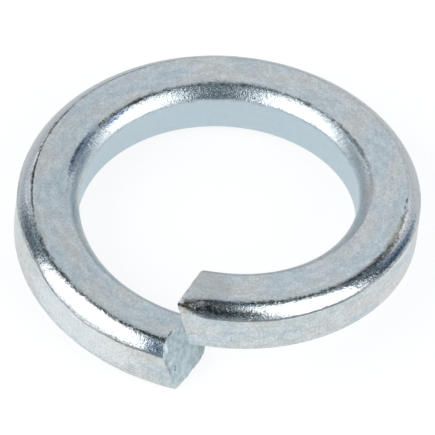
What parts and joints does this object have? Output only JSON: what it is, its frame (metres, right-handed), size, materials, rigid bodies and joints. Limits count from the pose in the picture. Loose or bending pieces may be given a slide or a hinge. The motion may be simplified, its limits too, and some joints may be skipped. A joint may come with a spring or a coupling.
{
  "type": "spring lock washer",
  "caption": "Split spring lock washer: a turn of square steel wire, sheared across, whose ends stand apart along the axis.",
  "frame": {"origin": "on the bore's axis, level with the lowest point under the lower end", "axes": "+Z along the bore's axis towards the raised end, -Y through the slit, +X to the right of the slit"},
  "size_m": [0.018, 0.018, 0.0056],
  "materials": {
    "zinc_plated_steel": "bright zinc plate over spring steel: satin flats, burnished and finely pitted edge roundings, sheared ends"
  },
  "bodies": {
    "root": {"lock_washer": "zinc_plated_steel"}
  },
  "joints": []
}
